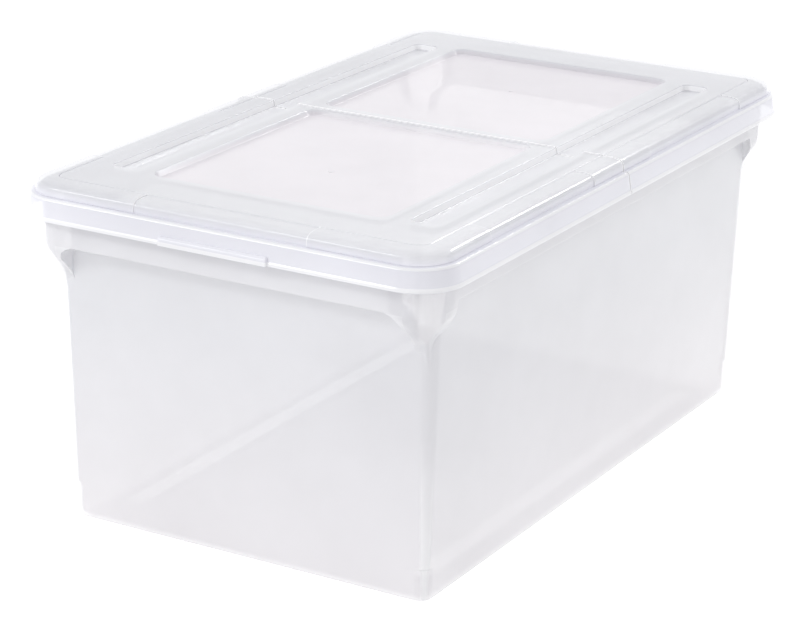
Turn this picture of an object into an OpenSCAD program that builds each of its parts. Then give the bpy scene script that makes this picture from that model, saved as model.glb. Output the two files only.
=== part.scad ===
// Portable file box for hanging letter-size folders: a clear moulded tub with a lid
// in two halves that fold up from a thin hinge web across the middle.
// X is the width (the hand-hold ends face along Y), Z is up, and the box stands on
// z = 0 with its centre on the Z axis. All sizes are in millimetres.

/* [Tub] */
// Width between the inside wall faces at the rim, which folder hooks span
mouth_w = 309.4; // [290:0.2:330]
// Length between the inside wall faces at the rim
mouth_l = 513.4; // [400:0.2:600]
// Height of the rim above the ground
rim_z = 253; // [235:0.5:290]
// Wall thickness of the tub
wall = 1.8; // [1.4:0.1:2.6]
// How far a wall leans out for each millimetre of height
draft = 0.03; // [0.01:0.005:0.035]
// Thickness of the floor
floor_t = 1.8; // [1.4:0.1:3]
// Outside corner radius of the walls
corner_r = 6; // [5:0.5:9]
// Outside corner radius of the lowest part of the walls
foot_r = 10; // [8:0.5:14]
// Height of the lowest part of the walls, above the floor's underside
foot_h = 24.5; // [15:0.5:40]
// Rounding of the edge between walls and floor
floor_edge_r = 2; // [1:0.25:3]

/* [Runners] */
// How far the stacking runners stand below the floor
runner_drop = 2.5; // [1.5:0.25:4]
// Play between a runner's foot and the sides of the groove that takes it
runner_play = 1.2; // [1:0.1:3]
// Play between a runner's foot and the ends of the groove that takes it
runner_end_play = 1.2; // [1:0.1:6]
// How far a runner's sides and ends slope out from foot to floor
runner_slope = 1; // [0.5:0.25:1.5]

/* [Rim] */
// Gap between wall and hanging collar on the long sides
side_gap = 4.8; // [4:0.2:9]
// Gap between wall and hanging collar at the hand-hold ends
grip_gap = 16.2; // [13:0.2:18]
// Thickness of the collar
collar_t = 1.8; // [1.4:0.1:2.4]
// Outside corner radius of the collar
collar_r = 23; // [21:0.2:26]
// How far the collar hangs below the rim on the long sides
side_drop = 30.5; // [24:0.5:33]
// How far the collar hangs below the rim at the hand-hold ends
grip_drop = 35; // [30:0.5:37]
// Width of the flange outside the collar, which carries the lid
flange_w = 6; // [4:0.2:7]
// Thickness of the flange
flange_t = 2; // [1.6:0.1:2.6]
// Height of the rails that folder hooks hang on, above the rim
rail_h = 3.5; // [2:0.25:4.5]
// Thickness of the rails
rail_w = 2.2; // [2:0.1:3]
// Distance from a rail's end to the collar's corner centre
rail_end_gap = 48.5; // [30:0.5:90]

/* [Corner brackets] */
// How far below the rim the corner leaves the collar's face
bracket_top = 37; // [37:0.5:44]
// How far below the rim a bracket's end face runs out in the wall
bracket_foot = 70; // [66:0.5:84]
// Outside radius of a bracket at its foot
bracket_foot_r = 11; // [9:0.5:13]
// How far the ridge under a bracket runs on down the corner
bracket_tail = 30; // [15:1:45]
// Width of a bracket from the collar's corner centre along the hand-hold end
bracket_end_w = 12; // [8:0.5:24]
// Length of a bracket from the collar's corner centre along the long side
bracket_side_w = 15; // [10:0.5:26]
// What is left of that length at the bracket's foot
bracket_side_foot = 3.5; // [2:0.5:6]
// Radius of the hollow between a bracket and the hand-hold end
bracket_hollow_r = 14; // [10:0.5:24]

/* [Lid] */
// Thickness of the lid
lid_t = 1.8; // [1.2:0.1:2.2]
// Air between the flange and the inside of the skirt
skirt_gap = 1.6; // [1.2:0.1:2.4]
// Air between the rim and the lid that rests on it
rest_gap = 0.2; // [0.1:0.05:0.4]
// Width of the ledge round the raised deck
ledge_w = 5.4; // [4:0.2:6]
// Height of the raised deck above the ledge
deck_h = 9.6; // [8:0.2:12]
// Width of the deck's rounded shoulder
shoulder_w = 17; // [14:0.5:18]
// Step at the edge of the flat top plate
plate_step = 1; // [0.5:0.1:1.5]
// Depth of the skirt below the ledge
skirt_h = 16.2; // [14:0.2:22]
// How far the skirt flares out towards its foot
skirt_flare = 2; // [0.5:0.1:2.5]
// How far the bead along the skirt's foot stands out
bead_w = 1; // [0.6:0.1:2]
// How far the stiffening pads stand proud of the shoulder
pad_h = 0.9; // [0.5:0.1:1.2]
// Length of a corner pad along the hand-hold end, from the corner centre
pad_end_l = 70; // [45:1:90]
// Length of a corner pad along the long side, from the corner centre
pad_side_l = 50; // [30:1:75]
// Length of the pads on each side of the hinge
pad_hinge_l = 46; // [30:1:60]

/* [Top plate] */
// Distance from a side edge of the plate to the sunk windows
window_side = 53.3; // [50:0.1:75]
// Distance from an end edge of the plate to the nearest window
window_end = 39.5; // [30:0.5:60]
// Distance between the two windows
window_gap = 14; // [13:0.5:30]
// Depth of the windows
window_d = 4; // [2:0.25:4.5]
// Corner radius of the windows
window_r = 10; // [6:0.5:14]
// Slope of a window's sides
window_slope = 3; // [1:0.25:4]
// Distance from a side edge of the plate to a stacking groove
groove_side = 16.1; // [14:0.1:17]
// Width of a stacking groove at the top plate
groove_w = 21.5; // [20:0.1:22.5]
// Distance from an end edge of the plate to the end of a stacking groove
groove_end = 44.5; // [30:0.5:60]
// Depth of a stacking groove
groove_d = 5; // [4:0.25:5.5]
// Slope of a groove's sides
groove_slope = 1.2; // [0.8:0.1:2]
// Distance from an end edge of the plate to the mark of the moulding gate
gate_end = 127.5; // [60:0.5:180]
// Radius of the gate mark
gate_r = 2.2; // [1.5:0.1:4]

/* [Pull tabs] */
// Width of the pull tab in the middle of the skirt
tab_w = 88; // [50:1:110]
// How far a pull tab stands out from the skirt's bead
tab_out = 2; // [1:0.25:4]
// Height of a pull tab
tab_h = 6.5; // [4:0.25:9]

/* [Hinge] */
// Where the hinge lies along the length, counted from the middle of the lid
hinge_y = -3.5; // [-4:0.25:4]
// Radius of the round hinge web
web_r = 0.6; // [0.5:0.05:0.9]
// Height of the hinge axis above the top plate
axis_lift = 0.25; // [0.2:0.05:0.4]
// Half the gap between the two lid halves
half_gap = 0.75; // [0.7:0.05:1.2]

/* [Hidden] */
$fn = 72;

clear_tint = [0.88, 0.89, 0.92, 0.55];
lid_tint = [0.91, 0.92, 0.94, 0.6];
web_tint = [0.95, 0.95, 0.97, 0.8];
// Overlap that makes joined solids one, and reach of a cutter past a face
eps = 0.02;
over = 1;
arc_steps = 6;

// Tub walls: half sizes of the outside at the rim, and how a wall leans
floor_z = runner_drop;
wall_h = rim_z - floor_z;
mouth_x = mouth_w / 2;
mouth_y = mouth_l / 2;
wall_x = mouth_x + wall;
wall_y = mouth_y + wall;
base_x = wall_x - draft * wall_h;
base_y = wall_y - draft * wall_h;
foot_z = floor_z + foot_h;

// Collar, flange, and the corner centres that collar and lid share
collar_x = wall_x + side_gap + collar_t;
collar_y = wall_y + grip_gap + collar_t;
centre_x = collar_x - collar_r;
centre_y = collar_y - collar_r;
flange_r = collar_r + flange_w;
grip_z = rim_z - grip_drop;
side_z = rim_z - side_drop;
rail_l = 2 * (centre_y - rail_end_gap);

// Corner brackets: at the foot their side and end faces lie just inside the wall, at
// these distances from the corner centre, and below it the ridge sinks into the wall
bracket_top_z = rim_z - bracket_top;
bracket_foot_z = rim_z - bracket_foot;
bracket_tail_z = bracket_foot_z - bracket_tail;
bracket_run = bracket_top_z - bracket_foot_z;
bracket_sink = 0.4;
bracket_in = draft * bracket_foot + bracket_sink;
bracket_side_r = min(bracket_foot_r, wall_x - bracket_in - centre_x);
bracket_end_r = wall_y - bracket_in - centre_y;
bracket_side_bend = 1.5;
bracket_end_bend = 1.25;
tail_side = 1.5;
tail_end = 4;
bracket_steps = 10;

// Lid heights and radii about the shared corner centres
ledge_z = rim_z + rest_gap + lid_t;
plate_z = ledge_z + deck_h;
skirt_r = flange_r + skirt_gap + lid_t;
deck_r = skirt_r - ledge_w;
plate_r = deck_r - shoulder_w;
lip_z = ledge_z - skirt_h;
lip_r = skirt_r + skirt_flare + bead_w;
edge_r = 2.4;
inner_edge = 1.2;
bead_h = 3.4;
bead_full_h = 1.7;
axis_z = plate_z + axis_lift;

// Top plate: half sizes, windows, and the grooves with the runners that they take
plate_x = centre_x + plate_r;
plate_y = centre_y + plate_r;
window_half = plate_x - window_side;
window_far = plate_y - window_end;
groove_x = plate_x - groove_side - groove_w / 2;
groove_far = plate_y - groove_end;
groove_r = 6;
gate_y = plate_y - gate_end;
gate_h = 0.4;
runner_half_w = groove_w / 2 - groove_slope - runner_play;
runner_half_l = groove_far - groove_slope - runner_end_play;

// ---------- points ----------

function arc(c, r, from, to) =
    [for (i = [0:arc_steps]) let (a = from + (to - from) * i / arc_steps)
        c + r * [cos(a), sin(a)]];

function unit(v) = v / norm(v);
function left_of(v) = [-v[1], v[0]];

// The path moved sideways to its left by t, with mitred corners
function beside(path, t) =
    let (last = len(path) - 1)
    [for (i = [0:last])
        let (into = left_of(unit(path[max(i, 1)] - path[max(i, 1) - 1])),
             out = left_of(unit(path[min(i, last - 1) + 1] - path[min(i, last - 1)])),
             mid = unit(into + out))
        path[i] + mid * t / (mid * into)];

function reversed(path) = [for (i = [len(path) - 1:-1:0]) path[i]];

// Rounded shoulder from the plate's step to the ledge: a quarter of a round that is
// fuller than a circle. low moves it down and in, for the inside of the lid.
shoulder_top = plate_z - plate_step;
shoulder_full = 0.5;
function shoulder(low) =
    [for (a = [0:15:90]) [
        plate_r + plate_step + (shoulder_w - plate_step - low) * pow(sin(a), shoulder_full),
        ledge_z - low + (shoulder_top - ledge_z) * pow(cos(a), shoulder_full)]];

// Outside of the lid from the plate's edge to the foot of the skirt
lid_outside = concat(
    [[plate_r, plate_z]],
    shoulder(0),
    arc([skirt_r - edge_r, ledge_z - edge_r], edge_r, 90, 0),
    [[skirt_r + skirt_flare, lip_z + bead_h],
     [lip_r, lip_z + bead_full_h],
     [lip_r, lip_z]]);

// Inside of the lid, one thickness in
lid_inside = concat(
    [[plate_r - plate_step, plate_z - lid_t]],
    shoulder(lid_t),
    [[skirt_r - lid_t - inner_edge, ledge_z - lid_t],
     [skirt_r - lid_t, ledge_z - lid_t - inner_edge],
     [skirt_r + skirt_flare - lid_t, lip_z + bead_h],
     [lip_r - lid_t, lip_z]]);

lid_section = concat([[0, plate_z]], lid_outside, reversed(lid_inside),
    [[0, plate_z - lid_t]]);

pad_section = concat(beside(shoulder(0), pad_h), reversed(beside(shoulder(0), -lid_t / 2)));

// S-shaped outside of a corner bracket above its ridge: distance from the shared
// corner centre, and height. tail is how far the ridge sinks in towards its end.
function bracket_curve(foot, tail, bend, inset) = concat(
    [[foot - tail - inset, bracket_tail_z + inset]],
    [for (i = [0:bracket_steps]) let (s = i / bracket_steps)
        [foot - inset + (collar_r - foot) * (1 - cos(180 * pow(s, bend))) / 2,
         bracket_foot_z + bracket_run * s + inset]]);

// ---------- building blocks ----------

// A section in (radius, height) carried round a rectangle of corner centres.
// There is one section for the corners, one for the long sides and one for the ends.
module round_ring(cx, cy, corner, side, end) {
    for (k = [0:3]) {
        sx = (k == 0 || k == 3) ? 1 : -1;
        sy = k < 2 ? 1 : -1;
        translate([sx * cx, sy * cy, 0])
            rotate([0, 0, 90 * k])
                rotate_extrude(angle = 90) polygon(corner);
        is_side = k % 2 == 0;
        rotate([0, 0, 90 * k])
            translate([is_side ? cx : cy, 0, 0])
                rotate([90, 0, 0])
                    linear_extrude(height = 2 * (is_side ? cy : cx), center = true)
                        polygon(is_side ? side : end);
    }
}

// The same section filled in to the middle; it starts and ends on radius 0
module round_block(cx, cy, section) {
    low = min([for (p = section) p[1]]);
    high = max([for (p = section) p[1]]);
    round_ring(cx, cy, section, section, section);
    translate([-cx, -cy, low]) cube([2 * cx, 2 * cy, high - low]);
}

module at_ends() {
    for (sy = [0, 1]) mirror([0, sy, 0]) children();
}

module at_sides() {
    for (sx = [0, 1]) mirror([sx, 0, 0]) children();
}

module at_corners() {
    at_sides() at_ends() children();
}

// ---------- tub ----------

// Outside of the walls, with the wider corner rounding near the ground. The upper
// part starts a little lower and half a wall in, inside the lower part.
module wall_body() {
    lean_foot = draft * foot_h;
    lean_rim = draft * wall_h;
    inside_r = corner_r + lean_foot - wall / 2;
    edge = arc([foot_r - floor_edge_r, floor_z + floor_edge_r], floor_edge_r, -90, 0);
    round_block(base_x - foot_r, base_y - foot_r,
        concat([[0, floor_z]], edge, [[foot_r + lean_foot, foot_z], [0, foot_z]]));
    round_block(base_x - corner_r, base_y - corner_r, [
        [0, foot_z - over],
        [inside_r, foot_z - over],
        [inside_r, foot_z],
        [corner_r + lean_foot, foot_z],
        [corner_r + lean_rim, rim_z],
        [0, rim_z]]);
}

// Inside of the walls, from the top of the floor to above the rim
module wall_void() {
    lean_foot = draft * foot_h;
    lean_rim = draft * (wall_h + over);
    r_low = foot_r - wall;
    r_high = corner_r - wall;
    step_z = foot_z + wall;
    edge = arc([r_low - floor_edge_r, floor_z + floor_t + floor_edge_r], floor_edge_r, -90, 0);
    round_block(base_x - foot_r, base_y - foot_r,
        concat([[0, floor_z + floor_t]], edge,
            [[r_low + lean_foot, step_z], [0, step_z]]));
    round_block(base_x - corner_r, base_y - corner_r, [
        [0, step_z - eps],
        [r_high + lean_foot, step_z - eps],
        [r_high + lean_rim, rim_z + over],
        [0, rim_z + over]]);
}

// What is cut off a corner bracket. grow moves the cuts into it, for its hollow.
module bracket_cuts(grow) {
    hollow_x = centre_x - bracket_hollow_r;
    hollow_z = grip_z - bracket_hollow_r;
    reach = 2 * collar_y;
    low = bracket_tail_z - over;
    // The hand-hold end's hollow, with a round top
    rotate([90, 0, 0]) linear_extrude(height = reach, center = true) {
        translate([hollow_x, hollow_z]) circle(r = bracket_hollow_r + grow);
        translate([0, low]) square([centre_x + grow, hollow_z - low]);
        square([hollow_x, grip_z + grow]);
    }
    // The long side's edge runs down in a slant towards the corner
    top_y = centre_y - bracket_side_w + grow;
    foot_y = centre_y - bracket_side_foot + grow;
    rotate([90, 0, 90]) linear_extrude(height = reach, center = true)
        polygon([
            [0, low],
            [foot_y, low],
            [foot_y, bracket_foot_z + wall],
            [top_y, side_z + grow],
            [0, side_z + grow]]);
    // The end face has its own curve
    end = bracket_curve(bracket_end_r, tail_end, bracket_end_bend, grow);
    rotate([90, 0, 90]) linear_extrude(height = reach, center = true)
        polygon(concat(
            [[centre_y + end[0][0], low]],
            [for (p = end) [centre_y + p[0], p[1]]],
            [[reach, bracket_top_z + grow], [reach, low]]));
}

// One corner bracket at +x, +y, filled; inset makes the hollow inside it
module bracket(inset, top) {
    from_x = centre_x - bracket_end_w + inset;
    from_y = centre_y - bracket_side_w + inset;
    low = bracket_tail_z + inset;
    section = concat(
        [[0, low]],
        bracket_curve(bracket_side_r, tail_side, bracket_side_bend, inset),
        [[collar_r - inset, top], [0, top]]);
    difference() {
        translate([centre_x, centre_y, 0]) {
            rotate_extrude(angle = 90) polygon(section);
            rotate([90, 0, 0])
                linear_extrude(height = centre_y - from_y) polygon(section);
            translate([from_x - centre_x, 0, 0])
                rotate([90, 0, 90])
                    linear_extrude(height = centre_x - from_x) polygon(section);
            translate([from_x - centre_x, from_y - centre_y, low])
                cube([centre_x - from_x, centre_y - from_y, top - low]);
        }
        bracket_cuts(inset);
    }
}

// Collar that hangs from the flange: an upside-down channel along each side
module collar() {
    low_z = rim_z - flange_t;
    in_side = wall_x - centre_x - wall / 2;
    in_end = wall_y - centre_y - wall / 2;
    in_r = collar_r - collar_t;
    round_ring(centre_x, centre_y,
        [[in_r, low_z], [flange_r, low_z], [flange_r, rim_z], [in_r, rim_z]],
        [[in_side, low_z], [in_r, low_z], [in_r, side_z], [collar_r, side_z],
         [collar_r, low_z], [flange_r, low_z], [flange_r, rim_z], [in_side, rim_z]],
        [[in_end, low_z], [in_r, low_z], [in_r, grip_z], [collar_r, grip_z],
         [collar_r, low_z], [flange_r, low_z], [flange_r, rim_z], [in_end, rim_z]]);
}

// A long foot under the floor that drops into a groove of the lid below
module runner(inset, top) {
    half_w = runner_half_w - inset;
    half_l = runner_half_l - inset;
    r = half_w / 2;
    translate([groove_x, 0, 0])
        round_block(half_w - r, half_l - r, [
            [0, inset],
            [r, inset],
            [r + runner_slope, runner_drop + inset],
            [r + runner_slope, top],
            [0, top]]);
}

module tub() {
    color(clear_tint) {
        difference() {
            union() {
                wall_body();
                collar();
                at_corners() bracket(0, rim_z);
                at_sides() runner(0, floor_z + floor_t / 2);
            }
            wall_void();
            at_corners() bracket(wall, rim_z + over);
            at_sides() runner(floor_t, floor_z + floor_t + over);
        }
        at_sides()
            translate([mouth_x, -rail_l / 2, rim_z - flange_t / 2])
                cube([rail_w, rail_l, rail_h + flange_t / 2]);
    }
}

// ---------- lid ----------

// A panel sunk into the top plate, centred on x between y0 and y1: its cutter, or
// with pan the solid that the cutter leaves as its floor and sides
module sunk(x, half_w, y0, y1, r, depth, slope, pan) {
    t = pan ? lid_t : 0;
    top = pan ? plate_z - lid_t / 2 : plate_z + over;
    translate([x, (y0 + y1) / 2, 0])
        round_block(half_w - r, (y1 - y0) / 2 - r, [
            [0, plate_z - depth - t],
            [r - slope + t, plate_z - depth - t],
            [r + t, plate_z - t],
            [r + t, top],
            [0, top]]);
}

module windows(pan) {
    at_ends()
        sunk(0, window_half, window_gap / 2, window_far, window_r, window_d,
            window_slope, pan);
}

module grooves(pan) {
    at_sides()
        sunk(groove_x, groove_w / 2, -groove_far, groove_far, groove_r, groove_d,
            groove_slope, pan);
}

// Raised pads on the shoulder: round the corners, and beside the hinge
module pads() {
    at_corners() {
        translate([centre_x, centre_y, 0]) rotate_extrude(angle = 90) polygon(pad_section);
        translate([centre_x, centre_y, 0])
            rotate([90, 0, 0]) linear_extrude(height = pad_side_l) polygon(pad_section);
        translate([centre_x - pad_end_l, centre_y, 0])
            rotate([90, 0, 90]) linear_extrude(height = pad_end_l) polygon(pad_section);
    }
    at_sides()
        translate([centre_x, hinge_y + pad_hinge_l, 0])
            rotate([90, 0, 0])
                linear_extrude(height = 2 * pad_hinge_l) polygon(pad_section);
}

// Thick lip in the middle of the skirt, to pull the lid half up by
module pull_tab() {
    out_r = lip_r + tab_out;
    section = concat(
        [[lip_r - lid_t / 2, lip_z]],
        arc([out_r - tab_out, lip_z + tab_out], tab_out, -90, 0),
        arc([out_r - tab_out, lip_z + tab_h - tab_out], tab_out, 0, 60),
        [[skirt_r + skirt_flare - lid_t / 2, lip_z + tab_h]]);
    translate([0, centre_y, 0])
        rotate([90, 0, 90]) linear_extrude(height = tab_w, center = true) polygon(section);
}

// The whole lid as if moulded in one piece
module lid() {
    difference() {
        union() {
            round_ring(centre_x, centre_y, lid_section, lid_section, lid_section);
            translate([-centre_x, -centre_y, plate_z - lid_t])
                cube([2 * centre_x, 2 * centre_y, lid_t]);
            pads();
            at_ends() pull_tab();
            windows(true);
            grooves(true);
        }
        windows(false);
        grooves(false);
    }
    // Mark that the moulding gate leaves in each window
    at_ends()
        translate([0, gate_y, plate_z - window_d - lid_t / 2])
            cylinder(r = gate_r, h = lid_t / 2 + gate_h);
}

// The half of the lid on one side of the hinge: side is 1 for the rear, -1 for the front
module lid_half(side) {
    reach = collar_y + plate_y;
    cut_y = hinge_y + side * half_gap - (side > 0 ? reach : 0);
    color(lid_tint) difference() {
        lid();
        translate([-collar_x - over - flange_r, cut_y, lip_z - over])
            cube([2 * (collar_x + over + flange_r), reach, plate_z - lip_z + 2 * over]);
    }
}

module lid_front() {
    lid_half(-1);
}

module lid_rear() {
    lid_half(1);
}

// ---------- hinge ----------

// Round web between the halves: one length between the grooves, one outside each
module hinge_web() {
    inner = groove_x - groove_w / 2 - over;
    outer_from = groove_x + groove_w / 2 + over;
    outer_to = plate_x - over;
    color(web_tint) translate([0, hinge_y, axis_z]) rotate([0, 90, 0]) {
        cylinder(r = web_r, h = 2 * inner, center = true);
        for (s = [-1, 1])
            translate([0, 0, s * (outer_from + outer_to) / 2])
                cylinder(r = web_r, h = outer_to - outer_from, center = true);
    }
}

tub();
lid_front();
lid_rear();
hinge_web();
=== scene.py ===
"""Looks of the portable file box: clear moulded tub, folding lid and hinge web."""

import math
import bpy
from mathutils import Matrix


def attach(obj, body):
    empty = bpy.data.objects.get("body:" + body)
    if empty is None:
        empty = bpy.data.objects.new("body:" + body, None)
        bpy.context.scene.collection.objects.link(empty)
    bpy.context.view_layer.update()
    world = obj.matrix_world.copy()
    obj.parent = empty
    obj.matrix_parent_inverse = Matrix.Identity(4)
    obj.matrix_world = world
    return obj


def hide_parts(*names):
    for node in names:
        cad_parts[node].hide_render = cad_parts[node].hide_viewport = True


bl_info = {
    "name": "Portable file box",
    "version": (1, 0, 0),
    "blender": (4, 5, 0),
    "location": "3D View > Sidebar > File Box",
    "description": "Models a clear plastic file box with a folding lid round its CAD frame",
    "category": "Object",
}

from functools import reduce

import bmesh
import bpy
from bpy.props import FloatProperty, FloatVectorProperty, PointerProperty
from mathutils import Euler, Vector

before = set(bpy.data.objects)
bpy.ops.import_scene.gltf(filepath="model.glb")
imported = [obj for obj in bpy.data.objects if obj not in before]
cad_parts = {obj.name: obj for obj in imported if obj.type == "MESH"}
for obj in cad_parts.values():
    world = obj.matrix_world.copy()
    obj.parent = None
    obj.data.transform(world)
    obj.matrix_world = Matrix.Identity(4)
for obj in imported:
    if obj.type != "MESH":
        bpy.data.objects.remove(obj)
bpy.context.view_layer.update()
MM = 0.001


def length(name, description, millimetres):
    """A size in metres whose default is given in millimetres."""
    return FloatProperty(
        name=name, description=description, default=millimetres * MM, unit="LENGTH", precision=4
    )


def amount(name, description, value):
    """A plain number that a user can change."""
    return FloatProperty(name=name, description=description, default=value)


def degrees(name, description, value):
    """An angle whose default is given in degrees."""
    return FloatProperty(name=name, description=description, default=math.radians(value), subtype="ANGLE")


def position(name, description, metres):
    """A place in metres."""
    return FloatVectorProperty(name=name, description=description, default=metres, subtype="TRANSLATION")


def colour(name, description, value):
    """A colour that a user can change."""
    return FloatVectorProperty(
        name=name, description=description, default=value, size=4, subtype="COLOR", min=0, max=1
    )


class TubSizes(bpy.types.PropertyGroup):
    """Sizes of the tub, its rim and its corner brackets."""

    half_width: length("Half width", "Outside half width of the walls at the rim", 156.5)
    half_length: length("Half length", "Outside half length of the walls at the rim", 258.5)
    rim: length("Rim height", "Height of the rim above the ground", 253)
    wall: length("Wall", "Thickness of walls and floor", 1.8)
    lean: amount("Lean", "How far a wall leans out for its height", 0.03)
    corner: length("Corner radius", "Corner radius of the walls at the floor", 6)
    foot_corner: length("Foot corner radius", "Corner radius of the lowest part of the walls", 10)
    foot: length("Foot height", "Height of the lowest part of the walls above the ground", 27)
    floor_edge: length("Floor edge", "Rounding between walls and floor", 2)
    runner_drop: length("Runner drop", "How far the runners stand below the floor", 2.5)
    runner_x: length("Runner place", "Distance of a runner from the middle", 123.25)
    runner_width: length("Runner half width", "Half width of a runner's foot", 8.35)
    runner_length: length("Runner half length", "Half length of a runner's foot", 216.6)
    collar_x: length("Collar half width", "Half width of the hanging collar", 163.1)
    collar_y: length("Collar half length", "Half length of the hanging collar", 276.5)
    collar_corner: length("Collar corner", "Outside corner radius of the collar", 23)
    collar_wall: length("Collar thickness", "Thickness of the collar", 1.8)
    side_drop: length("Side drop", "How far the collar hangs down on the long sides", 30.5)
    grip_drop: length("Grip drop", "How far the collar hangs down at the hand-hold ends", 35)
    flange: length("Flange width", "Width of the flange outside the collar", 6)
    flange_thick: length("Flange thickness", "Thickness of the flange", 2)
    rail_height: length("Rail height", "Height of the folder rails above the rim", 3.5)
    rail_width: length("Rail width", "Thickness of the folder rails", 2.2)
    rail_length: length("Rail half length", "Half length of the folder rails", 205)
    bracket_top: length("Bracket top", "Depth below the rim where a corner leaves the collar", 37)
    bracket_foot: length("Bracket foot", "Depth below the rim where an end face meets the wall", 70)
    bracket_side_r: length("Bracket foot, side", "Side face's distance from the centre at the foot", 11)
    bracket_end_r: length("Bracket foot, end", "End face's distance from the centre at the foot", 2.5)
    bracket_tail: length("Bracket tail", "Length of the ridge below a bracket's foot", 30)
    bracket_end: length("Bracket end width", "Reach of a bracket along the hand-hold end", 12)
    bracket_side: length("Bracket side length", "Reach of a bracket along the long side", 15)
    bracket_side_foot: length("Bracket side foot", "What is left of that length at the foot", 3.5)
    bracket_hollow: length("Bracket hollow", "Radius of the hollow beside a bracket", 14)
    edge: length("Edge rounding", "Rounding of the moulded edges", 0.8)


class LidSizes(bpy.types.PropertyGroup):
    """Sizes of the folding lid."""

    thick: length("Thickness", "Thickness of the lid", 1.8)
    centre_x: length("Corner centre x", "Corner centre that lid and collar share, across", 140.1)
    centre_y: length("Corner centre y", "Corner centre that lid and collar share, along", 253.5)
    plate_z: length("Plate height", "Height of the top plate", 264.6)
    ledge_z: length("Ledge height", "Height of the ledge round the deck", 255)
    plate_r: length("Plate corner", "Corner radius of the top plate", 10)
    deck_r: length("Deck corner", "Corner radius of the raised deck", 27)
    skirt_r: length("Skirt corner", "Corner radius of the skirt's top", 32.4)
    flare: length("Flare", "How far the skirt flares out", 2)
    bead: length("Bead", "How far the bead stands out", 1)
    bead_height: length("Bead height", "Height of the bead", 3.4)
    skirt: length("Skirt depth", "Depth of the skirt below the ledge", 16.2)
    step: length("Plate step", "Step at the edge of the top plate", 1)
    pad: length("Pad height", "How far the pads stand proud of the shoulder", 0.9)
    pad_end: length("End pad", "Length of a corner pad along the end", 70)
    pad_side: length("Side pad", "Length of a corner pad along the side", 50)
    pad_hinge: length("Hinge pad", "Length of a pad beside the hinge", 46)
    hinge_y: length("Hinge place", "Where the hinge lies along the length", -3.5)
    hinge_gap: length("Hinge gap", "Half the gap between the lid halves", 0.75)
    window_x: length("Window half width", "Half width of a sunk window", 96.8)
    window_near: length("Window start", "Where a window starts, from the middle", 7)
    window_far: length("Window end", "Where a window ends, from the middle", 224)
    window_depth: length("Window depth", "Depth of a window", 4)
    window_corner: length("Window corner", "Corner radius of a window", 10)
    window_slope: length("Window slope", "Slope of a window's sides", 3)
    groove_x: length("Groove place", "Distance of a groove from the middle", 123.25)
    groove_width: length("Groove half width", "Half width of a groove", 10.75)
    groove_length: length("Groove half length", "Half length of a groove", 219)
    groove_depth: length("Groove depth", "Depth of a groove", 5)
    groove_corner: length("Groove corner", "Corner radius of a groove", 6)
    groove_slope: length("Groove slope", "Slope of a groove's sides", 1.2)
    gate_y: length("Gate place", "Distance of a gate mark from the middle", 136)
    gate_r: length("Gate radius", "Radius of a gate mark", 2.2)
    tab_width: length("Tab half width", "Half width of a pull tab", 44)
    tab_out: length("Tab reach", "How far a pull tab stands out", 2)
    tab_height: length("Tab height", "Height of a pull tab", 6.5)
    edge: length("Edge rounding", "Rounding of the moulded edges", 0.7)


class Finishes(bpy.types.PropertyGroup):
    """Colours and clarity of the clear plastic."""

    tub_colour: colour("Tub colour", "Colour of the tub's plastic", (0.835, 0.84, 0.88, 1))
    # Painted light: a lighter colour for the lower walls, the collar and the runners, standing in for the
    # light these places lack
    low_painted_light_colour: colour("Foot colour", "Colour of the tub near the ground", (0.99, 0.97, 1.0, 1))
    # Painted highlights on corners, ledge and bead and painted light on shaded cheeks and groove walls; on
    # the hinge web it is the real stress whitening
    painted_light_and_whitening_colour: colour("Bright colour", "Colour of thick corners and bent plastic", (0.98, 0.98, 1.0, 1))
    lid_colour: colour("Lid colour", "Colour of the lid's plastic", (0.79, 0.795, 0.835, 1))
    # Painted light: the shoulder and skirt are painted lighter than the rest of the lid
    skirt_painted_light_colour: colour("Skirt colour", "Colour of the lid's skirt", (0.88, 0.88, 0.95, 1))
    window_colour: colour("Window colour", "Colour of the lid's thin windows", (0.90, 0.86, 0.91, 1))
    tub_body: amount("Tub body", "Opacity of one tub wall", 0.62)
    lid_body: amount("Lid body", "Opacity of the lid", 0.7)
    skirt_body: amount("Skirt body", "Opacity of the lid's skirt", 0.82)
    window_body: amount("Window body", "Opacity of the windows", 0.5)
    runner_body: amount("Runner body", "Opacity of the runners", 0.25)
    bright_body: amount("Bright body", "Opacity of bright plastic", 0.88)
    edge_body: amount("Edge body", "Opacity of any wall that is seen edge on", 0.95)
    haze: amount("Haze", "Roughness of the plastic", 0.12)
    ripple: amount("Ripple", "Strength of the soft ripple in the surface", 0.25)


class StageSettings(bpy.types.PropertyGroup):
    """Camera, lamps and floor."""

    camera_place: position("Camera place", "Where the camera stands", (1.03827, -1.82754, 0.83876))
    heading: degrees("Heading", "Turn of the camera to the left", 30.072)
    pitch: degrees("Pitch", "How far the camera looks down", 19.044)
    roll: degrees("Roll", "Roll of the camera", 0.841)
    lens: amount("Lens", "Focal length in millimetres", 129.67)
    front_place: position("Front lamp place", "Where the front lamp stands", (-1.15, -1.85, 1.46))
    front_power: amount("Front lamp power", "Power of the front lamp in watts", 14)
    rear_place: position("Rear lamp place", "Where the rear lamp stands", (0.8, 2.1, 1.7))
    rear_power: amount("Rear lamp power", "Power of the rear lamp in watts", 14)
    lamp_width: length("Lamp width", "Width of a lamp", 1200)
    lamp_height: length("Lamp height", "Height of a lamp", 200)
    world_level: amount("World level", "Strength of the even light", 0.82)
    floor_size: length("Floor size", "Half size of the floor", 12000)
    floor_grey: amount("Floor grey", "How pale the floor is under the lamps", 0.8)
    floor_glow: amount("Floor glow", "How much the floor glows where it is seen", 0.72)


# ---------- modelling ----------

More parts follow.
